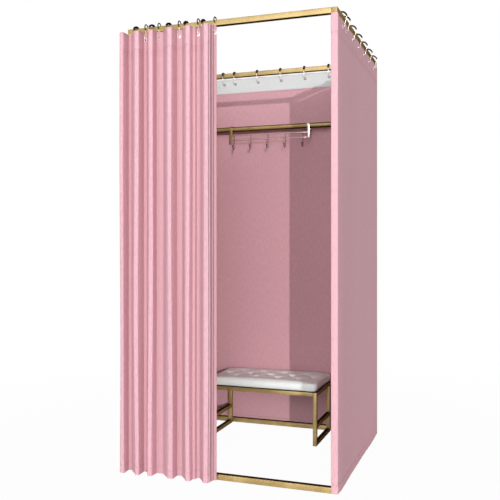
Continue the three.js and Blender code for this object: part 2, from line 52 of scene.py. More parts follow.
camera_lens = bpy.data.cameras.new("camera")
camera = bpy.data.objects.new("camera", camera_lens)
bpy.context.scene.collection.objects.link(camera)
camera.location = (1.1150, -3.3133, 1.0441)
camera.rotation_euler = (math.radians(90), 0, math.radians(19.506))
camera_lens.sensor_width = 36
camera_lens.lens = 50.95
camera_lens.shift_y = -0.02076
bpy.context.scene.camera = camera

# ------------ sizes

TAU = 2 * math.pi
# How far the frame's middle lies behind the origin, and half the side of its square
MIDDLE_Y = 0.0224
HALF = 0.485
TUBE = 0.025
TUBE_EASE = 0.002

CLOTH_TOP = 1.970
CLOTH_LOW = 0.002
HEM = 0.039
SIDE_HEM = 0.024
HEADER = 0.082
FLAT_CLOTH = 0.0022
DOOR_CLOTH = 0.0020
TAPE_GAUGE = 0.0007
EYELET_HEIGHT = 1.940
EYELET_HOLE = 0.005

FIRST_RIDGE = -0.4915
PLEAT_PITCH = 0.0823
PLEAT_DEPTH = 0.046
PLEAT_STAND_OFF = 0.010
SLOPE_HOOK_OFFSET = 0.037
# The gathered cloth's plan: along the bar, and out in front of the frame
DOOR_PLAN = (
    (-0.4935, 0.0560), (-0.4880, 0.0635), (-0.4723, 0.0640), (-0.4732, 0.0110),
    (-0.4594, 0.0100), (-0.4150, 0.0635), (-0.3961, 0.0640), (-0.3960, 0.0110),
    (-0.3819, 0.0100), (-0.3504, 0.0545), (-0.3321, 0.0550), (-0.3329, 0.0115),
    (-0.3160, 0.0130), (-0.3120, 0.0100), (-0.2993, 0.0100), (-0.2540, 0.0635),
    (-0.2353, 0.0640), (-0.2321, 0.0110), (-0.2074, 0.0100), (-0.1685, 0.0595),
    (-0.1510, 0.0600), (-0.1493, 0.0300), (-0.1385, 0.0265), (-0.1382, 0.0110),
    (-0.1239, 0.0100), (-0.1080, 0.0260), (-0.1040, 0.0340), (-0.0831, 0.0610),
    (-0.0637, 0.0620), (-0.0641, 0.0505), (-0.0602, 0.0490), (-0.0614, 0.0250),
    (-0.0575, 0.0235), (-0.0575, 0.0110), (-0.0445, 0.0105),
)
DOOR_EYELETS = (-0.3885, -0.3232, -0.2235, -0.1315, -0.0525)

FIRST_HOOK = 0.090
HOOK_PAIR = 0.069
HOOK_PITCH = 0.138
FLAT_HOOKS = 7

# Radii of the wire and its sleeves, and how much wider a sleeve is along the bar than across
WIRE = 0.0015
FAT_ARC = 0.0035
FAT_SPREAD = 1.5
SLOPE_SPREAD = 2.1
THIN_ARC = 0.0024
# Where a sleeve gives way to bare wire, going down
SLEEVE_END = (1.987, 1.983)
ARC_RADIUS = 0.01624
# Height of the bend's middle, and its radius
SLOPE_ARC = (1.9905, 0.0200)
VALLEY_ARC = (2.001, 0.0152)
VALLEY_LEAN = 0.008
WIRE_SEAT = 1.9432
FLAT_SEAT = 1.9418

RAIL_Y = 0.442
RAIL_HEIGHT = 1.672
RAIL_RADIUS = 0.014
RACK_LEFT = -0.331
RACK_SPAN = 0.451
RACK_WIRES = (0.038, 0.065)
RACK_WIRE = 0.002
RACK_HOOKS = 5
RACK_FIRST = 0.018
RACK_PITCH = 0.101
RACK_HOOK_DROP = 0.052
RACK_HOOK_TURN = 0.012
RACK_BALL = 0.0045
STRAP_HALF = 0.0074
STRAP_GAUGE = 0.0025

BENCH_LEFT = -0.350
BENCH_RIGHT = 0.240
BENCH_FRONT = 0.140
BENCH_BACK = 0.452
BENCH_TUBE = 0.020
BENCH_EASE = 0.0016
BENCH_TOP = 0.270
BENCH_LEVELS = (0.0, 0.088, 0.250)
TUFT_ROWS = (4, 5, 4)
TUFT_PITCH = (0.118, 0.072)
BUTTON = 0.006
# The cushion's pressure, and how far it may swell
PAD_PRESSURE = 1.2
PAD_SWELL = 0.0022
# Depth and width of the folds from tuft to tuft, and of the dent at each tuft
FOLD = (0.0056, 0.006)
DENT = (0.0070, 0.014)


# ------------ material helpers


def srgb(code):
    """An sRGB hex value as linear colour."""
    parts = [int(code[i : i + 2], 16) / 255 for i in (0, 2, 4)]
    linear = [p / 12.92 if p <= 0.04045 else ((p + 0.055) / 1.055) ** 2.4 for p in parts]
    return (*linear, 1.0)


def add_node(tree, kind, inputs=None, **settings):
    """A shader node with its settings, and its sockets set or linked."""
    node = tree.nodes.new("ShaderNode" + kind)
    for key, value in settings.items():
        setattr(node, key, value)
    for socket, value in (inputs or {}).items():
        if isinstance(value, bpy.types.Node):
            value = value.outputs[0]
        if isinstance(value, bpy.types.NodeSocket):
            tree.links.new(value, node.inputs[socket])
        else:
            node.inputs[socket].default_value = value
    return node


def finish(name, surface_inputs, *choices):
    """A finish by its name; surface_inputs lays out its nodes and says what the surface gets."""
    material = bpy.data.materials.new(name)
    material.use_nodes = True
    material.node_tree.nodes.clear()
    add = partial(add_node, material.node_tree)
    surface = add("BsdfPrincipled", surface_inputs(add, *choices))
    add("OutputMaterial", {"Surface": surface})
    return material


def speckle(add, place, size, detail=3.0, stretch=(1, 1, 1)):
    """Noise whose grain is about size metres across, longer where stretch is large."""
    scaled = add("Mapping", {"Vector": place, "Scale": [1 / (size * s) for s in stretch]})
    return add("TexNoise", {"Vector": scaled, "Scale": 1.0, "Detail": detail})


def grained(add, grain, dark, pale, roughness=None):
    """What a grain gives a surface: its colour between two tones, and its roughness between two values."""
    surface = {
        "Base Color": add("Mix", {0: grain, 6: srgb(dark), 7: srgb(pale)}, data_type="RGBA").outputs[2]
    }
    if roughness:
        span = {"From Min": 0.3, "From Max": 0.7, "To Min": roughness[0], "To Max": roughness[1]}
        surface["Roughness"] = add("MapRange", {"Value": grain, **span})
    return surface


def stitch_rows(add, along, across, rows, pitch=0.0042, thread=0.0009):
    """1 where a row of stitches lies, for rows at these places across."""
    dash = add("Math", {0: along, 1: pitch}, operation="PINGPONG")
    dash = add("MapRange", {"Value": dash, "From Min": pitch * 0.22, "From Max": pitch * 0.3})
    edges = {"From Min": thread * 0.5, "From Max": thread * 0.8, "To Min": 1.0, "To Max": 0.0}
    shown = None
    for row in rows:
        off = add("Math", {0: across, 1: row}, operation="SUBTRACT")
        line = add("MapRange", {"Value": add("Math", {0: off}, operation="ABSOLUTE"), **edges})
        shown = line if shown is None else add("Math", {0: shown, 1: line}, operation="MAXIMUM")
    return add("Math", {0: shown, 1: dash}, operation="MULTIPLY")


# ------------ finishes


def gold_coated_steel(add):
    """Steel tube with a satin gold coat: a pale warm metal with wide, soft highlights."""
    place = add("TexCoord").outputs["Object"]
    cloud = speckle(add, place, 0.06, 2.0)
    share = add("MapRange", {"Value": cloud, "From Min": 0.35, "From Max": 0.65})
    colour = add("Mix", {0: share, 6: srgb("9F8651"), 7: srgb("B19A63")}, data_type="RGBA").outputs[2]
    # Painted shade: every level face, above or below, is painted dark bronze and loses its gloss, and the
    # side faces are painted duller and darker
    facing = add("SeparateXYZ", {0: add("NewGeometry").outputs["Normal"]})
    sideways = add("Math", {0: facing.outputs["X"]}, operation="ABSOLUTE")
    share = add("MapRange", {"Value": sideways, "From Min": 0.5, "From Max": 0.9, "To Max": 0.35})
    colour = add("Mix", {0: share, 6: colour, 7: srgb("5E3D10")}, data_type="RGBA").outputs[2]
    level = add("Math", {0: facing.outputs["Z"]}, operation="ABSOLUTE")
    share = add("MapRange", {"Value": level, "From Min": 0.35, "From Max": 0.75, "To Max": 0.92})
    colour = add("Mix", {0: share, 6: colour, 7: srgb("2E1C0A")}, data_type="RGBA").outputs[2]
    painted_shade_facing = add("Math", {0: sideways, 1: 0.8}, operation="MULTIPLY")
    painted_shade_facing = add("Math", {0: level, 1: painted_shade_facing}, operation="MAXIMUM")
    painted_shade_span = {"Value": painted_shade_facing, "From Min": 0.35, "From Max": 0.75, "To Max": 0.0}
    satin = {"Value": cloud, "From Min": 0.3, "From Max": 0.7, "To Min": 0.32, "To Max": 0.42}
    # The coat's fine orange peel, drawn at 1.5 mm so that it shows
    peel = {"Height": speckle(add, place, 0.0015), "Distance": 0.00005, "Strength": 0.3}
    return {
        "Base Color": colour,
        "Roughness": add("MapRange", satin),
        "Metallic": add("MapRange", {**painted_shade_span, "To Min": 0.3}),
        "Specular IOR Level": add("MapRange", {**painted_shade_span, "To Min": 0.5}),
        "Normal": add("Bump", peel),
    }


def sleeved_wire(add):
    """Hooks with a dark bronze sleeve over the bend and bare nickel wire down the shank."""
    place = add("TexCoord").outputs["Object"]
    height = add("SeparateXYZ", {0: place}).outputs["Z"]
    bare = add("MapRange", {"Value": height, "From Min": SLEEVE_END[0], "From Max": SLEEVE_END[1]})
    # Painted reflection: the sleeve is painted darker where it faces up
    facing = add("SeparateXYZ", {0: add("NewGeometry").outputs["Normal"]})
    upward = add("MapRange", {"Value": facing.outputs["Z"], "From Min": -0.25, "From Max": 0.55})
    sleeve = add("Mix", {0: upward, 6: srgb("3C2B10"), 7: srgb("1E1406")}, data_type="RGBA").outputs[2]
    # Drawing marks run along the wire
    marks = {"Height": speckle(add, place, 0.0008, 2.0, (1, 1, 12)), "Distance": 0.00004, "Strength": 0.5}
    return {
        "Base Color": add("Mix", {0: bare, 6: sleeve, 7: srgb("DCCFCB")}, data_type="RGBA").outputs[2],
        "Metallic": add("MapRange", {"Value": bare, "To Max": 0.7}),
        "Specular IOR Level": add("MapRange", {"Value": bare, "To Max": 0.5}),
        "Roughness": add("MapRange", {"Value": bare, "To Min": 0.7, "To Max": 0.32}),
        "Normal": add("Bump", marks),
    }


def lacquered_eyelet(add, dark, pale):
    """Pressed eyelets with a lacquer: a plain tone, with a small sharp highlight."""
    grain = speckle(add, add("TexCoord").outputs["Object"], 0.003)
    return {**grained(add, grain, dark, pale, (0.18, 0.3)), "Metallic": 0.35}


def pink_linen(add, width, mottle, dark, pale, fold_shade=None):
    """Plain-woven linen-look polyester: matt pink with slubs along both threads."""
    flat = add("UVMap", uv_map="cloth").outputs[0]
    split = add("SeparateXYZ", {0: flat})
    along, up = split.outputs[0], split.outputs[1]
    down = speckle(add, flat, 0.0022, 4.0, (1, 14, 1))
    across = speckle(add, flat, 0.0018, 3.0, (11, 1, 1))
    slubs = add("Math", {0: down, 1: across}, operation="ADD")
    blotch = add("Math", {0: speckle(add, flat, 0.009, 4.0, (1, 2.4, 1)), 1: 0.34}, operation="MULTIPLY")
    tone = add("Math", {0: slubs, 1: 0.42}, operation="MULTIPLY")
    tone = add("Math", {0: tone, 1: blotch}, operation="ADD")
    reach = 0.17 / mottle
    share = add("MapRange", {"Value": tone, "From Min": 0.59 - reach, "From Max": 0.59 + reach})
    colour = add("Mix", {0: share, 6: srgb(dark), 7: srgb(pale)}, data_type="RGBA").outputs[2]
    if fold_shade:
        # Painted shade: down in the folds the cloth is painted darker than on the crests
        depth = add("SeparateXYZ", {0: add("TexCoord").outputs["Object"]}).outputs["Y"]
        share = {"Value": depth, "From Min": -0.512, "From Max": -0.482, "To Max": 0.75}
        share = add("MapRange", share)
        colour = add("Mix", {0: share, 6: colour, 7: srgb(fold_shade)}, data_type="RGBA").outputs[2]
    rows = stitch_rows(add, along, up, (0.036, 0.0385, CLOTH_TOP - 0.080, CLOTH_TOP - 0.004))
    sides = stitch_rows(add, up, along, (0.022, width - 0.022))
    stitches = add("Math", {0: rows, 1: sides}, operation="MAXIMUM")
    share = add("Math", {0: stitches, 1: 0.55}, operation="MULTIPLY")
    colour = add("Mix", {0: share, 6: colour, 7: srgb("B77883")}, data_type="RGBA").outputs[2]
    # Threads are 0.4 mm apart on the real cloth; drawn at 1.6 mm so that the weave shows
    weave = {"Vector": flat, "Scale": 98.0, "Distortion": 1.2}
    warp, weft = (add("TexWave", weave, bands_direction=way).outputs[1] for way in ("X", "Y"))
    threads = add("Math", {0: warp, 1: weft}, operation="ADD")
    height = add("Math", {0: threads, 1: 0.25}, operation="MULTIPLY")
    height = add("Math", {0: height, 1: slubs}, operation="ADD")
    sunk = add("Math", {0: stitches, 1: 1.6}, operation="MULTIPLY")
    height = add("Math", {0: height, 1: sunk}, operation="SUBTRACT")
    return {
        "Base Color": colour,
        "Roughness": 0.92,
        "Specular IOR Level": 0.25,
        "Sheen Weight": 0.05,
        "Sheen Roughness": 0.5,
        "Normal": add("Bump", {"Height": height, "Distance": 0.00035, "Strength": 0.6}),
    }


# The cloth is one pink in lit and shaded copies: painted paler on the outer curtains, the right one palest,
# and darker on the rear one seen within; dark and pale threads, and a painted fold shade for the front
LINEN = {
    "front": ("D3A1AB", "EAC0CA", "BF969D"),
    "right": ("D9A4AD", "EFC3CC"),
    "left": ("D0A3AB", "E5C1C9"),
    "rear": ("C29199", "D8AEB6"),
}


def white_header_tape(add):
    """Woven stiffening tape: chalk white, matt, with fine cross ribs."""
    flat = add("UVMap", uv_map="cloth").outputs[0]
    split = add("SeparateXYZ", {0: flat})
    grain = speckle(add, flat, 0.004, 3.0, (1, 5, 1))
    colour = add("Mix", {0: grain, 6: srgb("C8CECE"), 7: srgb("D7DDDC")}, data_type="RGBA").outputs[2]
    seams = (CLOTH_TOP - 0.078, CLOTH_TOP - 0.005)
    rows = stitch_rows(add, split.outputs[0], split.outputs[1], seams)
    # Ribs are 1 mm apart on such tape; drawn at 2 mm
    ribs = add("TexWave", {"Vector": flat, "Scale": 80.0}, bands_direction="X").outputs[1]
    return {
        "Base Color": add("Mix", {0: rows, 6: colour, 7: srgb("C9C4C4")}, data_type="RGBA").outputs[2],
        "Roughness": 0.85,
        "Normal": add("Bump", {"Height": ribs, "Distance": 0.0003, "Strength": 0.4}),
    }


def pale_rack_steel(add):
    """Bright plated steel with a faint gold tint: it takes the colour of what is round it."""
    grain = speckle(add, add("TexCoord").outputs["Object"], 0.004)
    return {**grained(add, grain, "DCCBB8", "EBE1D6", (0.16, 0.26)), "Metallic": 0.95}


def dark_hook_brown(add):
    """The rack's hooks and round ends in near black brown, with a soft gleam."""
    grain = speckle(add, add("TexCoord").outputs["Object"], 0.002)
    return {**grained(add, grain, "4A3029", "68473B"), "Roughness": 0.35, "Metallic": 0.2}


def dark_board_edge(add):
    """Seat board edge in near black: matt with a faint run of grain."""
    grain = speckle(add, add("TexCoord").outputs["Object"], 0.0016, 4.0, (24, 2, 1))
    relief = add("Bump", {"Height": grain, "Distance": 0.0001, "Strength": 0.5})
    return {**grained(add, grain, "1F1A17", "3A302A"), "Roughness": 0.7, "Normal": relief}


def grey_leathercloth(add):
    """Coated leathercloth: pale cool grey, a fine pebbled grain and a soft sheen."""
    place = add("TexCoord").outputs["Object"]
    cloud = speckle(add, place, 0.05, 3.0)
    # Pebbles of 1.2 mm
    pebble = add("TexVoronoi", {"Vector": place, "Scale": 800.0}, feature="DISTANCE_TO_EDGE")
    pebble = add("MapRange", {"Value": pebble, "From Max": 0.25})
    relief = add("Bump", {"Height": pebble, "Distance": 0.00012, "Strength": 0.6})
    return {**grained(add, cloud, "EAF7F2", "F4FCF9", (0.36, 0.46)), "Normal": relief}


gold = finish("gold_coated_steel", gold_coated_steel)
hook_wire = finish("gilt_hook_wire", sleeved_wire)
eyelet_pink = finish("pale_pink_eyelet", lacquered_eyelet, "D9B2BB", "E8CAD1")
eyelet_pale = finish("palest_pink_eyelet", lacquered_eyelet, "F1DCE2", "FAEEF1")
# Painted shade: the washers on the cloth's inner side are painted dark grey for the shade within the room
washer_shade_grey = finish("washer_painted_shade_grey", lacquered_eyelet, "4C4643", "6E6763")
tape_white = finish("white_header_tape", white_header_tape)
rack_steel = finish("pale_plated_steel", pale_rack_steel)
bronze = finish("near_black_brown_hooks", dark_hook_brown)
board_black = finish("near_black_seat_board", dark_board_edge)
leathercloth = finish("pale_grey_leathercloth", grey_leathercloth)


# ------------ modelling helpers


def wear(piece, material):
    """A piece with this one finish."""
    piece.data.materials.clear()
    piece.data.materials.append(material)


def fit(piece, material, body, node=None):
    """A finished piece gets its finish, its body and the frame piece it stands for."""
    if material:
        wear(piece, material)
    if node:
        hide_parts(node)
    if body:
        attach(piece, body)


def select(*pieces):
    """These pieces are selected and no others, and the first is active."""
    bpy.ops.object.select_all(action="DESELECT")
    for piece in pieces:
        piece.select_set(True)
    if pieces:
        bpy.context.view_layer.objects.active = pieces[0]


def settle(piece):
    """The piece's place goes into its mesh, and its object to the origin."""
    select(piece)
    bpy.ops.object.transform_apply(location=True, rotation=True, scale=True)


def apply_all(piece):
    """Every modifier of a piece goes into its mesh."""
    select(piece)
    for modifier in list(piece.modifiers):
        bpy.ops.object.modifier_apply(modifier=modifier.name)


def smooth(piece, degrees):
    """Smooth shading, but for edges sharper than this."""
    select(piece)
    bpy.ops.object.shade_smooth_by_angle(angle=math.radians(degrees))


def join(pieces, name):
    """Several pieces as one."""
    select(*pieces)
    bpy.ops.object.join()
    pieces[0].name = name
    pieces[0].data.name = name
    return pieces[0]


def copy_of(piece, name, matrix=None):
    """A copy with its own mesh, moved by a matrix."""
    twin = piece.copy()
    twin.data = piece.data.copy()
    twin.name = name
    twin.data.name = name
    bpy.context.scene.collection.objects.link(twin)
    if matrix is not None:
        twin.data.transform(matrix)
    return twin


def own_copy(node, name):
    """A frame piece's shape as a piece of its own."""
    piece = copy_of(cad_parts[node], name)
    piece.parent = None
    piece.matrix_world = Matrix.Identity(4)
    for key in list(piece.keys()):
        del piece[key]
    piece.hide_render = False
    piece.hide_viewport = False
    return piece


def eased_tube(node):
    """A frame tube with its long sharp edges eased as drawn tube has them, but for those on the floor."""
    piece = own_copy(node, f"{node}_eased")
    mesh = bmesh.new()
    mesh.from_mesh(piece.data)
    bmesh.ops.remove_doubles(mesh, verts=mesh.verts, dist=1e-6)
    corners = [e for e in mesh.edges if e.is_manifold and e.is_convex and e.calc_face_angle(0) > 1]
    sharp = [e for e in corners if e.calc_length() > 0.012 and max(v.co.z for v in e.verts) > 0.001]
    bmesh.ops.bevel(
        mesh, geom=sharp, offset=TUBE_EASE, segments=3, profile=0.5, affect="EDGES", clamp_overlap=True
    )
    mesh.to_mesh(piece.data)
    mesh.free()
    smooth(piece, 30)
    fit(piece, gold, "frame", node)


def turned(name, profile, segments, closed=False):
    """A round piece about Z: a circle drawn up through the profile's radii and heights."""
    select()
    radius, height = profile[0]
    bpy.ops.mesh.primitive_circle_add(vertices=segments, radius=radius, location=(0, 0, height))
    piece = bpy.context.object
    piece.name = name
    bpy.ops.object.mode_set(mode="EDIT")
    bpy.ops.mesh.select_all(action="SELECT")
    steps = list(profile[1:]) + ([profile[0]] if closed else [])
    for next_radius, next_height in steps:
        share = next_radius / radius
        bpy.ops.mesh.extrude_edges_move(TRANSFORM_OT_translate={"value": (0, 0, next_height - height)})
        bpy.ops.transform.resize(value=(share, share, 1))
        radius, height = next_radius, next_height
    bpy.ops.mesh.select_all(action="SELECT")
    bpy.ops.mesh.remove_doubles(threshold=0.00001)
    bpy.ops.mesh.normals_make_consistent(inside=False)
    bpy.ops.object.mode_set(mode="OBJECT")
    settle(piece)
    return piece


def bent_wire(name, points, radius):
    """A round wire along points, eased between them, with rounded tips."""
    curve = bpy.data.curves.new(name, "CURVE")
    curve.dimensions = "3D"
    curve.bevel_depth = radius
    curve.bevel_resolution = 5
    curve.use_fill_caps = True
    path = np.array([points[0], *points, points[-1]], float)
    line = []
    for i in range(1, len(path) - 2):
        a, b, c, d = path[i - 1 : i + 3]
        for t in (0, 0.25, 0.5, 0.75):
            squared = (2 * a - 5 * b + 4 * c - d) * t**2
            cubed = (3 * b - a - 3 * c + d) * t**3
            line.append(0.5 * (2 * b + (c - a) * t + squared + cubed))
    line.append(path[-2])
    tips = []
    for end, inner in ((line[0], line[1]), (line[-1], line[-2])):
        tips.append(end + (end - inner) / np.linalg.norm(end - inner) * radius * 0.6)
    line = [tips[0], *line, tips[1]]
    spline = curve.splines.new("POLY")
    spline.points.add(len(line) - 1)
    for point, place in zip(spline.points, line):
        point.co = (*place, 1)
    spline.points[0].radius = 0.55
    spline.points[-1].radius = 0.55
    piece = bpy.data.objects.new(name, curve)
    bpy.context.scene.collection.objects.link(piece)
    select(piece)
    bpy.ops.object.convert(target="MESH")
    piece = bpy.context.object
    smooth(piece, 50)
    return piece


def arc(centre, radius, start, end, steps):
    """Points along a round arc from one angle to another."""
    return [
        (
            centre[0] + radius * math.cos(start + (end - start) * i / steps),
            centre[1] + radius * math.sin(start + (end - start) * i / steps),
        )
        for i in range(steps + 1)
    ]


# ------------ frame tubes

SIDES = ("front", "rear", "left", "right")
for y in SIDES[:2]:
    for x in SIDES[2:]:
        eased_tube(f"post_{y}_{x}")
for level in ("top", "bottom"):
    for side in SIDES:
        eased_tube(f"{level}_bar_{side}")


def square_tube(low, high):
    """One length of square tube from its two corners, its edges eased."""
    select()
    bpy.ops.mesh.primitive_cube_add(size=1)
    tube = bpy.context.object
    low, high = Vector(low), Vector(high)
    tube.location = (low + high) / 2
    tube.dimensions = high - low
    settle(tube)
    eased = tube.modifiers.new("eased", "BEVEL")
    eased.width = BENCH_EASE
    eased.segments = 3
    apply_all(tube)
    return tube


def welded_bench_frame():
    """Legs full height, with the end rails and the two long seat rails butted between them."""
    xs = (BENCH_LEFT, BENCH_RIGHT - BENCH_TUBE)
    ys = (BENCH_FRONT + MIDDLE_Y, BENCH_BACK + MIDDLE_Y - BENCH_TUBE)
    tubes = []
    for x in xs:
        for y in ys:
            tubes.append(square_tube((x, y, 0), (x + BENCH_TUBE, y + BENCH_TUBE, BENCH_TOP)))
        for z in BENCH_LEVELS:
            low = (x, ys[0] + BENCH_TUBE, z)
            tubes.append(square_tube(low, (x + BENCH_TUBE, ys[1], z + BENCH_TUBE)))
    for y in ys:
        low = (xs[0] + BENCH_TUBE, y, BENCH_LEVELS[2])
        tubes.append(square_tube(low, (xs[1], y + BENCH_TUBE, BENCH_TOP)))
    welded = join(tubes, "bench_frame_tubes")
    smooth(welded, 40)
    fit(welded, gold, "bench", "bench_frame")


welded_bench_frame()

for node in ("rail_bracket_left", "rail_bracket_right"):
    wear(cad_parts[node], gold)
wear(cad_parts["bench_board"], board_black)

# Half the rail's length, and its outer wall's, which ends a little short of its eased lips
rail_end, rail_edge = 0.483, 0.4825
inside, lip = RAIL_RADIUS - 0.0015, RAIL_RADIUS - 0.0005
rail_profile = [(inside, -rail_end), (lip, -rail_end), (RAIL_RADIUS, -rail_edge)]
rail_profile += [(radius, -height) for radius, height in reversed(rail_profile)]
rail = turned("clothes_rail_tube", rail_profile, 64, closed=True)
along_x = Matrix.Rotation(math.radians(90), 4, "Y")
rail.data.transform(Matrix.Translation((0, RAIL_Y + MIDDLE_Y, RAIL_HEIGHT)) @ along_x)
smooth(rail, 30)
fit(rail, gold, "frame", "clothes_rail")


# ------------ cloth


def cloth_piece(name, columns, rows, place, thickness, doubled=None):
    """A woven sheet: a grid laid out by its flat sizes, set in place and given its thickness."""
    select()
    across, up = len(columns) - 1, len(rows) - 1
    bpy.ops.mesh.primitive_grid_add(x_subdivisions=across, y_subdivisions=up, size=2)
    sheet = bpy.context.object
    sheet.name = name
    sheet.data.name = name
    corners = [
        (round((v.co.x + 1) / 2 * across), round((v.co.y + 1) / 2 * up)) for v in sheet.data.vertices
    ]
    layer = sheet.data.uv_layers[0]
    layer.name = "cloth"
    for loop in sheet.data.loops:
        i, j = corners[loop.vertex_index]
        layer.data[loop.index].uv = (columns[i], rows[j])
    for vertex, (i, j) in zip(sheet.data.vertices, corners):
        vertex.co = place(columns[i], rows[j])
    group = sheet.vertex_groups.new(name="hems")
    for vertex, (i, j) in zip(sheet.data.vertices, corners):
        group.add([vertex.index], 1.0 if doubled and doubled(columns[i], rows[j]) else 0.0, "REPLACE")
    settle(sheet)
    shell = sheet.modifiers.new("cloth", "SOLIDIFY")
    shell.thickness = thickness
    shell.offset = 0
    shell.use_even_offset = False
    shell.vertex_group = "hems"
    shell.thickness_vertex_group = 0.5
    return sheet


def cut_eyelet_holes(sheet, places):
    """Round holes through the cloth: each place is a centre and the way out of the cloth."""
    cutters = []
    for centre, outward in places:
        select()
        bpy.ops.mesh.primitive_cylinder_add(
            vertices=20,
            radius=EYELET_HOLE,
            depth=0.016,
            location=centre,
            rotation=Vector(outward).to_track_quat("Z", "Y").to_euler(),
        )
        cutters.append(bpy.context.object)
        settle(cutters[-1])
    cutter = join(cutters, "eyelet_punch")
    cut = sheet.modifiers.new("holes", "BOOLEAN")
    cut.operation = "DIFFERENCE"
    cut.solver = "EXACT"
    cut.object = cutter
    apply_all(sheet)
    bpy.data.objects.remove(cutter)


def eyelet_shape():
    """A pressed eyelet about Z: a rolled flange outside and its barrel through the cloth."""
    ring = turned(
        "eyelet",
        (
            (0.0042, -0.0014),
            (0.0041, 0.0004),
            (0.0045, 0.0011),
            (0.0055, 0.0015),
            (0.0070, 0.0014),
            (0.0083, 0.0008),
            (0.0086, 0.0),
            (0.0080, -0.0002),
            (0.0050, -0.0002),
            (0.0050, -0.0014),
        ),
        28,
        closed=True,
    )
    smooth(ring, 40)
    return ring


eyelet = eyelet_shape()


def eyelet_at(name, centre, outward, material, size=1):
    """One eyelet in the cloth, by its middle and the way it faces."""
    turn = Vector(outward).to_track_quat("Z", "Y").to_matrix().to_4x4()
    ring = copy_of(eyelet, name, Matrix.Translation(centre) @ turn @ Matrix.Scale(size, 4))
    wear(ring, material)
    return ring


def spread(low, high, step, extra=()):
    """Even places from low to high, with some more between them."""
    count = max(1, round((high - low) / step))
    places = [low + (high - low) * i / count for i in range(count + 1)]
    places += [e for e in extra if low < e < high]
    return sorted(set(round(p, 6) for p in places))


# Extra rows of the grid, where the hem and the header are doubled or bent
HEM_ROWS = (0.006, 0.014, 0.034, 0.0385, 0.0395, 0.046)
HEADER_ROWS = tuple(CLOTH_TOP - drop for drop in (0.0825, 0.0815, 0.05, 0.03, 0.012, 0.003))

flat_places = [FIRST_HOOK, FIRST_HOOK + HOOK_PAIR]
while len(flat_places) < FLAT_HOOKS:
    flat_places.append(flat_places[-1] + HOOK_PITCH)


def side_place(side, along, out, height):
    """A point of a side, by its distance along the frame from the front or left, and out of it."""
    if side == "right":
        return Vector((HALF + out, along - HALF + MIDDLE_Y, height))
    if side == "left":
        return Vector((-HALF - out, along - HALF + MIDDLE_Y, height))
    return Vector((along - HALF, HALF + out + MIDDLE_Y, height))


OUTWARD = {"right": Vector((1, 0, 0)), "left": Vector((-1, 0, 0)), "rear": Vector((0, 1, 0))}


def slack(side, along, height):
    """How far stretched cloth stands off its own plane, in metres: broad, shallow waves."""
    seed = {"right": 0.4, "left": 2.1, "rear": 3.7}[side]
    edge = min(1, max(0, along) / 0.05, max(0, 2 * HALF - along) / 0.05)
    rise = min(1, (CLOTH_TOP - height) / 0.25)
    wave = math.sin(along * 9.5 + seed + 0.9 * math.sin(height * 1.7 + seed))
    wave += 0.6 * math.sin(along * 17 - height * 1.3 + 2 * seed)
    return 0.0011 * (1.6 + wave) * edge * rise


def scallop(along, height):
    """The top edge dips a little between two hooks."""
    near = min(abs(along - p) for p in flat_places)
    share = min(1, near / HOOK_PAIR)
    lift = max(0, (height - (CLOTH_TOP - 0.12)) / 0.12)
    return -0.0022 * share**2 * lift**2


# How far the cloth's middle stands off the frame, and the radius where it turns round a post
STAND_OFF = 0.0017
TURN = 0.003
SIDE_END = 2 * HALF + 0.0005
REAR_END = 0.0008
QUARTER_TURNS = (1, 3)
# A side curtain's plan: along the side, across the front post and back along its inner side
SLEEVE_ROUTE = (
    (SIDE_END, STAND_OFF),
    (TURN - STAND_OFF, STAND_OFF),
    (-STAND_OFF, STAND_OFF - TURN),
    (-STAND_OFF, -TUBE - STAND_OFF + TURN),
    (TURN - STAND_OFF, -TUBE - STAND_OFF),
    (TUBE - 0.001, -TUBE - STAND_OFF),
)
REAR_ROUTE = ((-REAR_END, STAND_OFF), (2 * HALF + REAR_END, STAND_OFF))


def leg_length(route, index):
    """The length of one leg of a plan route, straight or a quarter turn."""
    straight = (Vector(route[index + 1]) - Vector(route[index])).length
    return straight * (math.pi / 2 / math.sqrt(2) if index in QUARTER_TURNS else 1)


def route_point(route, distance):
    """The place at a distance along a plan route."""
    for index in range(len(route) - 1):
        a, b = Vector(route[index]), Vector(route[index + 1])
        length = leg_length(route, index)
        if distance <= length or index == len(route) - 2:
            share = distance / length
            if index not in QUARTER_TURNS:
                return a.lerp(b, share)
            before = (a - Vector(route[index - 1])).normalized()
            radius = (b - a).length / math.sqrt(2)
            turn = share * math.pi / 2
            after = ((b - a) - before * radius).normalized()
            return a + before * radius * math.sin(turn) + after * radius * (1 - math.cos(turn))
        distance -= length


def doubled_edges(distance, height):
    """Whether the cloth is folded double here: its bottom hem, its header and its leading side hem."""
    return height < HEM or height > CLOTH_TOP - HEADER or distance < SIDE_HEM


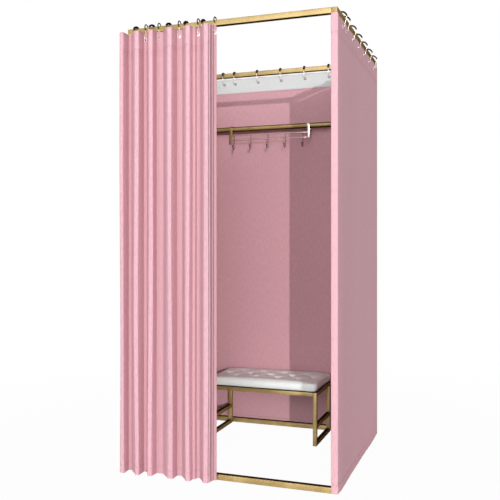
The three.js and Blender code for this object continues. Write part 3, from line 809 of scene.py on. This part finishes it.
def flat_curtain(side):
    """A side or rear curtain, its header tape, eyelets and hooks."""
    sleeved = side != "rear"
    route = SLEEVE_ROUTE if sleeved else REAR_ROUTE
    length = sum(leg_length(route, index) for index in range(len(route) - 1))
    side_run = SIDE_END - (TURN - STAND_OFF)
    turn = TURN * math.pi / 2
    face = TUBE + 2 * STAND_OFF - 2 * TURN
    if sleeved:
        bend = [turn * i / 4 for i in range(5)]
        marks = [side_run + b for b in bend] + [side_run + turn + face / 2]
        marks += [side_run + turn + face + b for b in bend]
        columns = spread(0, side_run, 0.02) + marks[1:] + [length]
    else:
        columns = spread(0, length, 0.02)
    rows = spread(CLOTH_LOW, CLOTH_TOP, 0.05, HEM_ROWS + HEADER_ROWS)

    def place(distance, height):
        along, out = route_point(route, distance)
        if out >= STAND_OFF - 1e-5:
            out += slack(side, along, height)
        # The sleeve's top stands a little higher than the side's
        lift = 0.008 * min(1, max(0, distance - side_run + 0.02) / 0.02) * (height / CLOTH_TOP) ** 12
        return side_place(side, along, out, height + scallop(along, height) + (lift if sleeved else 0))

    sheet = cloth_piece(f"curtain_{side}_cloth", columns, rows, place, FLAT_CLOTH, doubled_edges)
    if sleeved:
        # The flap on the post's inner side ends above the bottom bar
        flap = side_run + 2 * turn + face
        mesh = bmesh.new()
        mesh.from_mesh(sheet.data)
        uv = mesh.loops.layers.uv["cloth"]
        low = [
            f
            for f in mesh.faces
            if all(loop[uv].uv.x > flap - 0.004 and loop[uv].uv.y < 0.0396 for loop in f.loops)
        ]
        bmesh.ops.delete(mesh, geom=low, context="FACES")
        mesh.to_mesh(sheet.data)
        mesh.free()
    apply_all(sheet)
    centres = [
        (side_place(side, p, STAND_OFF + slack(side, p, EYELET_HEIGHT), EYELET_HEIGHT), OUTWARD[side])
        for p in flat_places
    ]
    cut_eyelet_holes(sheet, centres)
    smooth(sheet, 50)
    linen = finish(f"pink_linen_{side}", pink_linen, length, 0.65, *LINEN[side])
    fit(sheet, linen, "frame", f"curtain_{side}")

    tape_columns = spread(TUBE + 0.0005, 2 * HALF - TUBE - 0.0005, 0.02)
    tape_rows = spread(CLOTH_TOP - HEADER, CLOTH_TOP, 0.0082)

    def tape_place(along, height):
        out = STAND_OFF - 0.0018 + slack(side, along, height)
        return side_place(side, along, out, height + scallop(along, height))

    tape = cloth_piece(f"header_tape_{side}_strip", tape_columns, tape_rows, tape_place, TAPE_GAUGE)
    apply_all(tape)
    cut_eyelet_holes(tape, centres)
    smooth(tape, 50)
    fit(tape, tape_white, "frame", f"header_tape_{side}")

    rings = []
    for centre, outward in centres:
        rings.append(eyelet_at("ring", centre + outward * 0.0012, outward, eyelet_pink))
        rings.append(eyelet_at("washer", centre - outward * 0.0024, -outward, washer_shade_grey, 0.8))
    rings = join(rings, f"eyelets_{side}")
    fit(rings, None, "frame")

    for index, along in enumerate(flat_places):
        lines = [[side_place(side, along, *point) for point in line] for line in flat_hook_lines()]
        hook = sleeved_hook(f"hook_{side}_{index + 1}_wire", lines, 0 if side == "rear" else 1)
        fit(hook, hook_wire, "frame", f"hook_{side}_{index + 1}")


def sleeved_hook(name, lines, bar_axis, thickness=FAT_ARC, width=FAT_SPREAD):
    """A hook: its first line is the fat sleeve over the bar, the second is thin wire."""
    sleeve = bent_wire(name, lines[0], thickness)
    widened = np.array([v.co for v in sleeve.data.vertices])
    middle = widened[:, bar_axis].mean()
    widened[:, bar_axis] = middle + (widened[:, bar_axis] - middle) * width
    sleeve.data.vertices.foreach_set("co", widened.astype(np.float32).ravel())
    return join([sleeve, bent_wire("wire", lines[1], WIRE)], name)


def flat_hook_lines():
    """Over the bar and flaring out past it; down inside, out through the eyelet and back up.

    Each point is its way out from the bar's outer face, and its height."""
    over = (
        (0.0205, 1.9860), (0.0172, 1.9935), (0.0105, 2.0000), (0.0025, 2.0036), (-0.0125, 2.0041),
        (-0.0245, 2.0036), (-0.0298, 1.9990), (-0.0306, 1.9910), (-0.0300, 1.9840),
    )
    shank = -TUBE / 2 - ARC_RADIUS
    inside = [(-0.0302, 1.9860), (shank - 0.0006, 1.975), (shank, FLAT_SEAT + 0.026)]
    inside += arc((shank + 0.012, FLAT_SEAT + 0.012), 0.012, math.pi, 1.5 * math.pi, 5)
    toe = 0.0069 + 0.004
    inside += arc((toe - 0.004, FLAT_SEAT + 0.004), 0.004, 1.5 * math.pi, TAU, 4)
    inside += [(toe + 0.0006, FLAT_SEAT + 0.009), (0.0146, 1.962), (0.0190, 1.976), (0.0204, 1.9865)]
    return over, inside


for side in ("right", "left", "rear"):
    flat_curtain(side)

# ------------ gathered door curtain


def rounded_line(corners, radius, steps):
    """A line through corners, each eased by a short curve."""
    line = [Vector(corners[0])]
    for before, corner, after in zip(corners, corners[1:], corners[2:]):
        corner = Vector(corner)
        back, on = Vector(before) - corner, Vector(after) - corner
        first = corner + back.normalized() * min(radius, back.length * 0.48)
        last = corner + on.normalized() * min(radius, on.length * 0.48)
        for step in range(steps + 1):
            t = step / steps
            line.append(first * (1 - t) ** 2 + corner * 2 * t * (1 - t) + last * t**2)
    return [*line, Vector(corners[-1])]


def with_middles(line, longest):
    """The same line with long legs divided."""
    divided = [line[0]]
    for a, b in zip(line, line[1:]):
        count = max(1, math.ceil((b - a).length / longest))
        divided += [a.lerp(b, i / count) for i in range(1, count + 1)]
    return divided


door_line = with_middles(rounded_line(DOOR_PLAN, 0.0040, 4), 0.008)
flat_along = [0.0]
for first, second in zip(door_line, door_line[1:]):
    flat_along.append(flat_along[-1] + (second - first).length)
door_width = flat_along[-1]
door_along = [point.x for point in door_line]
door_out = [point.y for point in door_line]


def front_place(along, out, height):
    """A point of the front, by its place along the bar and its way out from the frame."""
    return Vector((along, -HALF - out + MIDDLE_Y, height))


def door_place(distance, height):
    """A point of the gathered cloth, whose folds wander a little towards the floor."""
    along = float(np.interp(distance, flat_along, door_along))
    out = float(np.interp(distance, flat_along, door_out))
    crest = (out - PLEAT_STAND_OFF) / PLEAT_DEPTH
    low = 1 - height / CLOTH_TOP
    wander = math.sin(24 * along + 2.6 * height) + 0.5 * math.sin(41 * along - 4.1 * height)
    out += 0.003 * low * crest * math.sin(31 * along + 1.7 * height)
    out += 0.0007 * math.sin(210 * along + 2.2 * height) * min(1, 4 * low)
    return front_place(along + 0.003 * low * crest * wander, out, height)


def reach_at(along):
    """How far in front of the frame the cloth's top stands at a place along the bar."""
    return float(np.interp(along, door_along, door_out))


def door_doubled(distance, height):
    """As for the flat curtains, with a hem along both sides."""
    return doubled_edges(distance, height) or distance > door_width - SIDE_HEM


door_rows = spread(CLOTH_LOW, CLOTH_TOP, 0.04, HEM_ROWS + HEADER_ROWS)
door = cloth_piece("curtain_front_cloth", flat_along, door_rows, door_place, DOOR_CLOTH, door_doubled)
apply_all(door)

slopes = [FIRST_RIDGE + PLEAT_PITCH * k - SLOPE_HOOK_OFFSET for k in range(1, 6)]
front = Vector((0, -1, 0))
cut_eyelet_holes(door, [(front_place(x, PLEAT_STAND_OFF, EYELET_HEIGHT), front) for x in DOOR_EYELETS])
smooth(door, 50)
door_linen = finish("pink_linen_front", pink_linen, door_width, 0.9, *LINEN["front"])
fit(door, door_linen, None, "curtain_front")
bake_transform(door)


def behind_and_over(height, radius, end):
    """From the free tip behind the front bar up to a place over it."""
    middle = -TUBE / 2
    tip = middle - radius - 0.003
    points = [(tip, height - 0.009), (tip + 0.0022, height - 0.0045)]
    return points + arc((middle, height), radius, math.pi, end, 10)


def valley_lines():
    """Over the bar in bronze, then bare wire down its front to an eyelet in a valley."""
    height, radius = VALLEY_ARC
    shank = radius - TUBE / 2 + 0.0012
    over = behind_and_over(height, radius, 0) + [(shank, height - 0.012)]
    down = [(shank, height - 0.011), (shank, height - 0.022), (shank, WIRE_SEAT + 0.014)]
    down += arc((shank + 0.004, WIRE_SEAT + 0.004), 0.004, math.pi, 1.5 * math.pi, 4)
    toe = PLEAT_STAND_OFF + 0.0062
    down += arc((toe, WIRE_SEAT + 0.004), 0.004, 1.5 * math.pi, TAU, 4)
    down.append((toe + 0.004, WIRE_SEAT + 0.007))
    return over, down


def slope_lines(reach):
    """Over the bar in bronze and forward, then bare wire down behind the cloth."""
    height, radius = SLOPE_ARC
    middle = -TUBE / 2
    over = behind_and_over(height, radius, math.pi / 2)
    crest = height + radius
    drop = crest - CLOTH_TOP - 0.003
    end = reach - 0.0022
    bend = [
        (middle + (end - middle) * share, crest - drop * (1 - math.sqrt(1 - share * share)))
        for share in (0.3, 0.55, 0.75, 0.93)
    ]
    over += bend[:3]
    down = [*bend[2:], (end, CLOTH_TOP + 0.003), (reach, CLOTH_TOP - 0.010), (reach, EYELET_HEIGHT)]
    return over, down


front_places = sorted([(x, True) for x in DOOR_EYELETS] + [(x, False) for x in slopes])
for number, (along, in_valley) in enumerate(front_places, 1):
    body = "frame" if number == 1 else "lead_hook" if number == 10 else f"hook_{number:02d}"
    shape = valley_lines() if in_valley else slope_lines(reach_at(along) - 0.0068)
    lean = VALLEY_LEAN if in_valley else 0
    lines = [
        [
            front_place(along - lean * min(1, max(0, height - CLOTH_TOP) / 0.03), out, height)
            for out, height in line
        ]
        for line in shape
    ]
    gauge = (THIN_ARC, 1.0) if in_valley else (FAT_ARC, SLOPE_SPREAD)
    hook = sleeved_hook(f"hook_front_{number:02d}_wire", lines, 0, *gauge)
    fit(hook, hook_wire, body, f"hook_front_{number:02d}")
    if in_valley:
        centre = front_place(along, PLEAT_STAND_OFF, EYELET_HEIGHT)
        ring = eyelet_at("ring", centre + front * 0.0011, front, eyelet_pale)
        washer = eyelet_at("washer", centre - front * 0.0011, -front, washer_shade_grey)
        fit(join([ring, washer], f"eyelet_front_{number:02d}"), None, body)

# ------------ hook rack


def rack_strap(x):
    """A flat strap bent over the rail, its edges eased: a strip drawn along its route."""
    centre = RAIL_RADIUS + 0.0004 + STRAP_GAUGE / 2
    route = [(-centre, -0.069), (-centre, -0.03)]
    route += arc((0, 0), centre, math.pi, 0, 16)
    route += [(centre, -0.012), (centre, -0.020)]
    select()
    bpy.ops.mesh.primitive_plane_add(size=2 * STRAP_HALF)
    strap = bpy.context.object
    for vertex in strap.data.vertices:
        end = route[1] if vertex.co.y > 0 else route[0]
        vertex.co = (x + vertex.co.x, *end)
    bpy.ops.object.mode_set(mode="EDIT")
    bpy.ops.mesh.select_mode(type="VERT")
    bpy.ops.mesh.select_all(action="DESELECT")
    bpy.ops.object.mode_set(mode="OBJECT")
    for vertex in strap.data.vertices:
        vertex.select = vertex.co.z > -0.05
    bpy.ops.object.mode_set(mode="EDIT")
    for (y, z), (next_y, next_z) in zip(route[1:], route[2:]):
        bpy.ops.mesh.extrude_edges_move(TRANSFORM_OT_translate={"value": (0, next_y - y, next_z - z)})
    bpy.ops.object.mode_set(mode="OBJECT")
    shell = strap.modifiers.new("gauge", "SOLIDIFY")
    shell.thickness = STRAP_GAUGE
    shell.offset = 0
    ease = strap.modifiers.new("eased", "BEVEL")
    ease.width = 0.0007
    ease.segments = 2
    ease.limit_method = "ANGLE"
    ease.angle_limit = math.radians(50)
    apply_all(strap)
    return strap


def hook_rack():
    """Two straps over the rail, two wires welded to them and five hooks with round ends."""
    plane = -RAIL_RADIUS - 0.0016
    left_strap = rack_strap(0)
    # Painted shade: the left strap, the same strap as the right, wears the darker gold finish for the shade
    # it hangs in
    wear(left_strap, gold)
    parts = [rack_strap(RACK_SPAN)]
    for drop in RACK_WIRES:
        line = [(x, plane, -drop) for x in (0, RACK_SPAN / 2, RACK_SPAN)]
        parts.append(bent_wire("rack_wire", line, RACK_WIRE))
    for part in parts:
        wear(part, rack_steel)
    knobs = []
    hook_plane = plane - 0.0004
    low = -RACK_WIRES[1] - RACK_HOOK_DROP + RACK_HOOK_TURN
    half_circle = [math.pi * i / 10 for i in range(11)]
    for index in range(RACK_HOOKS):
        x = RACK_FIRST + RACK_PITCH * index
        tip = (x, hook_plane - 2 * RACK_HOOK_TURN, low + 0.006)
        points = [(x, hook_plane, height) for height in (-RACK_WIRES[0], -RACK_WIRES[1], low + 0.01)]
        turn = arc((hook_plane - RACK_HOOK_TURN, low), RACK_HOOK_TURN, 0, -math.pi, 10)
        points += [(x, y, z) for y, z in turn] + [tip]
        knobs.append(bent_wire("rack_hook", points, RACK_WIRE))
        profile = [(RACK_BALL * math.sin(a) + 1e-5, -RACK_BALL * math.cos(a)) for a in half_circle]
        ball = turned("rack_ball", profile, 20)
        ball.data.transform(Matrix.Translation(tip))
        smooth(ball, 80)
        knobs.append(ball)
    rack = join([*parts, left_strap], "hook_rack_steel")
    knobs = join(knobs, "hook_rack_knobs")
    for piece, material, node in ((rack, None, "hook_rack"), (knobs, bronze, None)):
        piece.data.transform(Matrix.Translation((RACK_LEFT, RAIL_Y + MIDDLE_Y, RAIL_HEIGHT)))
        smooth(piece, 40)
        fit(piece, material, "rack", node)


hook_rack()

# ------------ bench cushion


def tuft_places():
    """Where the tufts are sewn, seen from above."""
    middle = Vector(((BENCH_LEFT + BENCH_RIGHT) / 2, (BENCH_FRONT + BENCH_BACK) / 2 + MIDDLE_Y))
    for row, count in enumerate(TUFT_ROWS):
        for index in range(count):
            yield middle + Vector(((index - (count - 1) / 2) * TUFT_PITCH[0], (row - 1) * TUFT_PITCH[1]))


def line_distance(point, start, end):
    """How far a point is from a straight line, and at what share of its length."""
    run = end - start
    share = min(1, max(0, (point - start).dot(run) / run.length_squared))
    return (point - start - run * share).length, share


def swell(pad, tufts, bottom):
    """Air pressure rounds the pad, which is held at its base and its tufts."""
    start = np.array([v.co for v in pad.data.vertices])
    held = pad.vertex_groups.new(name="held")
    for vertex in pad.data.vertices:
        near = min((vertex.co.xy - t).length for t in tufts)
        top = vertex.co.z > bottom + 0.018
        weight = 1.0 if vertex.co.z < bottom + 0.004 or (top and near < BUTTON) else 0.0
        held.add([vertex.index], weight, "REPLACE")
    settings = pad.modifiers.new("swell", "CLOTH").settings
    settings.quality = 5
    settings.use_pressure = True
    settings.uniform_pressure_force = PAD_PRESSURE
    settings.vertex_group_mass = "held"
    settings.effector_weights.gravity = 0
    settings.tension_stiffness = 30
    settings.compression_stiffness = 30
    settings.bending_stiffness = 0.6
    for step in range(1, 21):
        bpy.context.scene.frame_set(step)
    apply_all(pad)
    bpy.context.scene.frame_set(1)
    end = np.array([v.co for v in pad.data.vertices])
    move = end - start
    far = np.linalg.norm(move, axis=1, keepdims=True)
    end = start + move * np.minimum(1, PAD_SWELL / np.maximum(far, 1e-9))
    end[:, 2] = np.maximum(end[:, 2], bottom)
    pad.data.vertices.foreach_set("co", end.astype(np.float32).ravel())


def fold(pad, tufts, bottom):
    """Soft folds run from tuft to tuft, and each tuft is drawn down."""
    pairs = [
        (a, b)
        for i, a in enumerate(tufts)
        for b in tufts[i + 1 :]
        if abs(a.y - b.y) > 0.01 and (a - b).length < 0.12
    ]
    for vertex in pad.data.vertices:
        if vertex.co.z < bottom + 0.026:
            continue
        here = vertex.co.xy
        dent = 0
        for a, b in pairs:
            if abs(here.x - (a.x + b.x) / 2) > 0.05:
                continue
            distance, share = line_distance(here, a, b)
            depth = FOLD[0] * (0.35 + 0.65 * (2 * share - 1) ** 2)
            dent = max(dent, depth * math.exp(-((distance / FOLD[1]) ** 2)))
        near = min((here - t).length for t in tufts)
        dent += DENT[0] * math.exp(-((near / DENT[1]) ** 2))
        vertex.co.z -= dent


def tufted_cushion():
    """The seat pad, swollen between its tufts, and a covered button on each tuft."""
    pad = own_copy("bench_cushion", "bench_cushion_pad")
    bottom = min(v.co.z for v in pad.data.vertices)
    voxel = pad.modifiers.new("even", "REMESH")
    voxel.mode = "VOXEL"
    voxel.voxel_size = 0.005
    apply_all(pad)
    tufts = list(tuft_places())
    swell(pad, tufts, bottom)
    finer = pad.modifiers.new("finer", "SUBSURF")
    finer.levels = 1
    finer.render_levels = 1
    apply_all(pad)
    fold(pad, tufts, bottom)
    smooth(pad, 60)
    fit(pad, leathercloth, "bench", "bench_cushion")

    surface = np.array([v.co for v in pad.data.vertices])
    dome = (
        (0.0068, -0.0016), (0.0074, -0.0004), (0.0072, 0.0008),
        (0.0058, 0.0019), (0.0034, 0.0026), (0.00002, 0.0029),
    )
    button = turned("button", dome, 28)
    buttons = []
    for tuft in tufts:
        near = surface[np.hypot(surface[:, 0] - tuft.x, surface[:, 1] - tuft.y) < BUTTON]
        place = Matrix.Translation((tuft.x, tuft.y, float(near[:, 2].max()) + 0.0006))
        buttons.append(copy_of(button, "tuft_button", place))
    bpy.data.objects.remove(button)
    buttons = join(buttons, "bench_cushion_buttons")
    smooth(buttons, 60)
    fit(buttons, leathercloth, "bench")


tufted_cushion()
bpy.data.objects.remove(eyelet)

# ------------ floor and light


def background_rays(add):
    """1 for a ray that shows the background: from the camera, in a gloss or through glass."""
    rays = add("LightPath").outputs
    seen = add("Math", {0: rays["Is Camera Ray"], 1: rays["Is Glossy Ray"]}, operation="MAXIMUM")
    return add("Math", {0: seen, 1: rays["Is Transmission Ray"]}, operation="MAXIMUM")


select()
bpy.ops.mesh.primitive_plane_add(size=40, location=(0, 0, 0))
floor = bpy.context.object
floor.name = "floor"

# A pale matt floor that takes the shadow and is seen as white, wholly so away from the room
floor_finish = bpy.data.materials.new("white_studio_floor")
floor_finish.use_nodes = True
floor_finish.node_tree.nodes.clear()
add = partial(add_node, floor_finish.node_tree)
far = add("VectorMath", {0: add("TexCoord").outputs["Object"]}, operation="LENGTH").outputs["Value"]
fade = add("MapRange", {"Value": far, "From Min": 0.9, "From Max": 3.0, "To Min": 0.97, "To Max": 1.0})
share = add("Math", {0: background_rays(add), 1: fade}, operation="MULTIPLY")
matt = add("BsdfDiffuse", {"Color": srgb("DADADA")})
white = add("Emission", {"Color": (1, 1, 1, 1), "Strength": 1.0})
add("OutputMaterial", {"Surface": add("MixShader", {0: share, 1: matt, 2: white})})
wear(floor, floor_finish)

world = bpy.data.worlds.new("studio")
bpy.context.scene.world = world
world.use_nodes = True
world.node_tree.nodes.clear()
add = partial(add_node, world.node_tree)
soft, plain = (add("Background", {"Color": (1, 1, 1, 1), "Strength": strength}) for strength in (0.15, 1.0))
add("OutputWorld", {"Surface": add("MixShader", {0: background_rays(add), 1: soft, 2: plain})})


def sun(name, towards, strength, spread_degrees, colour):
    """A lamp far away, by the direction from the room towards it."""
    data = bpy.data.lights.new(name, "SUN")
    data.energy = strength
    data.color = colour
    data.angle = math.radians(spread_degrees)
    lamp = bpy.data.objects.new(name, data)
    bpy.context.scene.collection.objects.link(lamp)
    lamp.rotation_euler = Vector(towards).to_track_quat("Z", "Y").to_euler()


# The key comes low from the right of the doorway; the broad ones light the folds and the back
sun("key", (0.427, -0.9, 0.149), 1.35, 0.5, (1, 0.94, 0.94))
sun("front_fill", (0.12, -1.0, 0.05), 3.5, 60, (1, 1, 1))
sun("back_fill", (-0.45, 1.0, 0.15), 1.9, 60, (1, 1, 1))

bpy.context.scene.view_settings.view_transform = "Standard"
